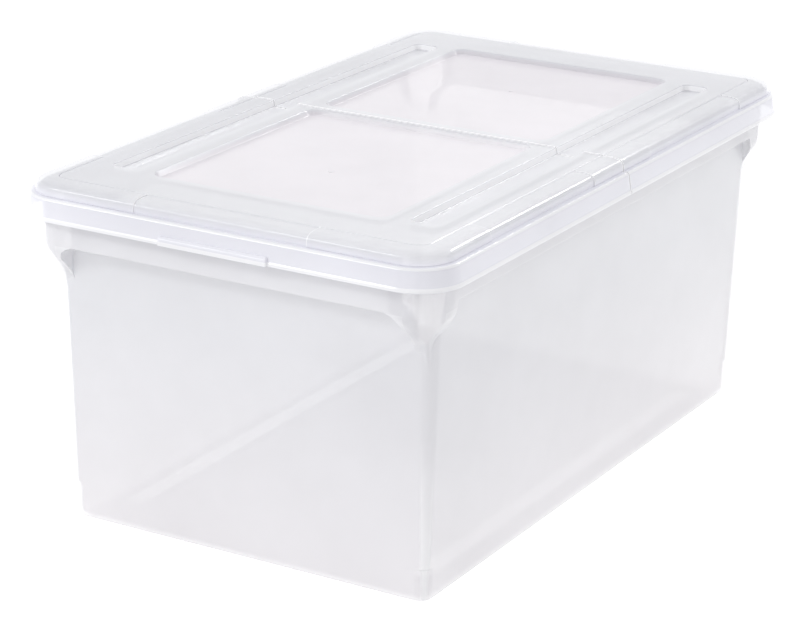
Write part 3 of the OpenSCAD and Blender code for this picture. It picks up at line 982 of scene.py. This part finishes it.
def lid_marks(s):
    """Masks of the lid's skirt, painted lighter, its windows, and its lighter marks: painted light on the
    steep groove walls, painted highlights along the ledge and bead, lighter lines at the pad ends and the
    stress-whitened lines beside the hinge.
    """
    group, leave, x, y, z, plain_y = mask_group("lid_marks", ("Skirt", "Window", "Bright"))
    # Painted light: the shoulder grows lighter towards the ledge, and the skirt is lighter, outside the
    # plate
    skirt = ramp(group, z, s.plate_z - SKIRT_LIGHT_FADE[0], s.ledge_z + SKIRT_LIGHT_FADE[1])
    out_x = maths(group, "SUBTRACT", x, s.centre_x)
    out_y = maths(group, "SUBTRACT", y, s.centre_y)
    outside = ramp(group, largest(group, out_x, out_y), s.plate_r, s.plate_r + SKIRT_EDGE)
    group.links.new(product(group, skirt, outside), leave.inputs["Skirt"])
    window_floor = s.plate_z - s.window_depth
    sunk = ramp(group, z, s.plate_z - WINDOW_FADE[0], window_floor + WINDOW_FADE[1])
    short = maths(group, "LESS_THAN", y, s.window_far + LINE)
    window = product(group, maths(group, "LESS_THAN", x, s.window_x), short)
    group.links.new(product(group, sunk, window), leave.inputs["Window"])
    # Painted light: the steep walls of the grooves are made lighter and denser where they would lie in shade
    panel = between(group, x, s.window_x + LINE, s.groove_x + s.groove_width)
    steep = between(group, z, s.plate_z - s.groove_depth + LINE, s.plate_z - LINE)
    panel = product(group, panel, short, steep)
    from_hinge = maths(group, "ABSOLUTE", maths(group, "SUBTRACT", plain_y, s.hinge_y))
    corner_pads = maths(group, "COMPARE", y, s.centre_y - s.pad_side, LINE)
    hinge_pads = maths(group, "COMPARE", from_hinge, s.pad_hinge, LINE)
    side = maths(group, "GREATER_THAN", x, s.centre_x + s.plate_r)
    side = product(group, largest(group, corner_pads, hinge_pads), side)
    end = maths(group, "COMPARE", x, s.centre_x - s.pad_end, LINE)
    end = product(group, end, maths(group, "GREATER_THAN", y, s.centre_y + s.plate_r))
    above = maths(group, "GREATER_THAN", z, s.ledge_z + LINE)
    pads = product(group, largest(group, side, end), above, PAD_SHARE)
    bent = maths(group, "LESS_THAN", from_hinge, s.hinge_gap + LINE)
    # Painted highlights: lines along the ledge's rounded edge and along the bead
    lip = s.ledge_z - s.skirt
    ledge = between(group, z, s.ledge_z - LEDGE_HIGHLIGHT[0], s.ledge_z - LEDGE_HIGHLIGHT[1])
    bead = between(group, z, lip + BEAD_HIGHLIGHT_MARGIN, lip + s.bead_height - BEAD_HIGHLIGHT_MARGIN)
    rim_highlights = product(group, largest(group, ledge, bead), outside, RIM_HIGHLIGHT_SHARE)
    group.links.new(largest(group, panel, pads, bent, rim_highlights), leave.inputs["Bright"])
    return group


def clear_plastic(name, tint, body):
    """Clear plastic that looks denser edge on. Its back faces don't show, so each wall counts once."""
    looks = bpy.context.scene.filebox_finish
    material = bpy.data.materials.new(name)
    material.use_nodes = True
    tree = material.node_tree
    nodes, links = tree.nodes, tree.links
    shader = nodes["Principled BSDF"]
    shader.inputs["IOR"].default_value = REFRACTION
    skin = nodes.new("ShaderNodeGroup")
    skin.name = "skin"
    skin.node_tree = skin_group()
    skin.inputs["Colour"].default_value = tint
    skin.inputs["Haze"].default_value = looks.haze
    skin.inputs["Ripple"].default_value = looks.ripple
    for gives, takes in (("Colour", "Base Color"), ("Roughness", "Roughness"), ("Normal", "Normal")):
        links.new(skin.outputs[gives], shader.inputs[takes])
    facing = nodes.new("ShaderNodeLayerWeight")
    facing.inputs["Blend"].default_value = TURN_BLEND
    dense = ramp(tree, facing.outputs["Facing"], 0, 1, body, looks.edge_body)
    dense.node.name = "dense"
    inside = nodes.new("ShaderNodeNewGeometry")
    shown = maths(tree, "SUBTRACT", dense, inside.outputs["Backfacing"])
    shown.node.use_clamp = True
    links.new(shown, shader.inputs["Alpha"])
    return material


def mix_in(tree, old, mask, value):
    """Mixes a value into what a socket has, where a mask is."""
    node = tree.nodes.new("ShaderNodeMix")
    node.data_type = "RGBA" if old.type == "RGBA" else "FLOAT"
    first, second = [s for s in node.inputs if s.name in ("A", "B") and s.type == old.type]
    if old.is_linked:
        tree.links.new(old.links[0].from_socket, first)
    else:
        first.default_value = old.default_value
    second.default_value = value
    tree.links.new(mask, node.inputs["Factor"])
    result = next(s for s in node.outputs if s.type == old.type)
    tree.links.new(result, old)


def mark_plastic(material, group, mask, tint, body):
    """Gives the places in a group's mask their own colour and opacity."""
    tree = material.node_tree
    marks = tree.nodes.new("ShaderNodeGroup")
    marks.node_tree = group
    mix_in(tree, tree.nodes["skin"].inputs["Colour"], marks.outputs[mask], tint)
    mix_in(tree, tree.nodes["dense"].inputs["To Min"], marks.outputs[mask], body)


# ---------- stage ----------

VIEW_REACH = 100.0
# How many see-through surfaces a ray may pass on its way through the box
CLEAR_LAYERS = 40
WHITE = (1, 1, 1, 1)


def seen_rays(tree):
    """1 for a ray from the camera, a reflection or clear plastic, and 0 for the rays that light things."""
    rays = tree.nodes.new("ShaderNodeLightPath").outputs
    return largest(tree, rays["Is Camera Ray"], rays["Is Glossy Ray"], rays["Is Transmission Ray"])


def backdrop_material(grey, glow):
    """A floor that looks white where it is seen and keeps the shadow."""
    material = bpy.data.materials.new("backdrop")
    material.use_nodes = True
    tree = material.node_tree
    nodes, links = tree.nodes, tree.links
    nodes.remove(nodes["Principled BSDF"])
    matt = nodes.new("ShaderNodeBsdfDiffuse")
    matt.inputs["Color"].default_value = (grey, grey, grey, 1)
    light = nodes.new("ShaderNodeEmission")
    light.inputs["Color"].default_value = WHITE
    links.new(product(tree, seen_rays(tree), glow), light.inputs["Strength"])
    both = nodes.new("ShaderNodeAddShader")
    links.new(matt.outputs["BSDF"], both.inputs[0])
    links.new(light.outputs["Emission"], both.inputs[1])
    links.new(both.outputs["Shader"], nodes["Material Output"].inputs["Surface"])
    return material


def plain_world(level):
    """Even light all round, white where the camera, a reflection or clear plastic sees it."""
    world = bpy.data.worlds.new("plain_light")
    bpy.context.scene.world = world
    world.use_nodes = True
    tree = world.node_tree
    sky = tree.nodes["Background"]
    sky.inputs["Color"].default_value = WHITE
    tree.links.new(ramp(tree, seen_rays(tree), 0, 1, level, 1.0), sky.inputs["Strength"])


class FILEBOX_OT_stage(bpy.types.Operator):
    """Set the floor, the even light, the two lamps and the camera"""

    bl_idname = "filebox.stage"
    bl_label = "Stage"

    def execute(self, context):
        s = context.scene.filebox_stage
        deselect_all()
        bpy.ops.mesh.primitive_plane_add(size=2 * s.floor_size)
        floor = context.object
        floor.name = "floor"
        floor.data.materials.append(backdrop_material(s.floor_grey, s.floor_glow))
        plain_world(s.world_level)
        for place, power in ((s.front_place, s.front_power), (s.rear_place, s.rear_power)):
            aim = place.to_track_quat("Z", "Y").to_euler()
            bpy.ops.object.light_add(type="AREA", location=place, rotation=aim)
            lamp = context.object.data
            lamp.shape = "RECTANGLE"
            lamp.size = s.lamp_width
            lamp.size_y = s.lamp_height
            lamp.energy = power
        turn = Euler((math.pi / 2 - s.pitch, 0, s.heading)).to_matrix()
        turn = turn @ Euler((0, 0, s.roll)).to_matrix()
        bpy.ops.object.camera_add(location=s.camera_place, rotation=turn.to_euler())
        camera = context.object
        camera.data.lens = s.lens
        camera.data.clip_end = VIEW_REACH
        context.scene.camera = camera
        context.scene.view_settings.view_transform = "Standard"
        context.scene.cycles.transparent_max_bounces = CLEAR_LAYERS
        return {"FINISHED"}


class FILEBOX_PT_panel(bpy.types.Panel):
    """Sizes, finishes and build steps of the file box"""

    bl_idname = "FILEBOX_PT_panel"
    bl_label = "Portable file box"
    bl_space_type = "VIEW_3D"
    bl_region_type = "UI"
    bl_category = "File Box"

    def draw(self, context):
        for step in STEPS:
            self.layout.operator(step.bl_idname)
        for name in SETTINGS:
            box = self.layout.box()
            group = getattr(context.scene, name)
            for field in group.bl_rna.properties.keys():
                if field not in ("rna_type", "name"):
                    box.prop(group, field)


SETTINGS = {
    "filebox_tub": TubSizes,
    "filebox_lid": LidSizes,
    "filebox_finish": Finishes,
    "filebox_stage": StageSettings,
}
STEPS = (FILEBOX_OT_tub, FILEBOX_OT_lid, FILEBOX_OT_web, FILEBOX_OT_stage)


def register():
    """Registers the settings, the build steps and the panel."""
    for name, group in SETTINGS.items():
        bpy.utils.register_class(group)
        setattr(bpy.types.Scene, name, PointerProperty(type=group))
    for step in STEPS:
        bpy.utils.register_class(step)
    bpy.utils.register_class(FILEBOX_PT_panel)


def unregister():
    """Removes what register added."""
    bpy.utils.unregister_class(FILEBOX_PT_panel)
    for step in reversed(STEPS):
        bpy.utils.unregister_class(step)
    for name, group in SETTINGS.items():
        delattr(bpy.types.Scene, name)
        bpy.utils.unregister_class(group)


def main():
    register()
    bpy.ops.filebox.tub()
    bpy.ops.filebox.lid()
    bpy.ops.filebox.web()
    bpy.ops.filebox.stage()


if __name__ == "__main__":
    main()
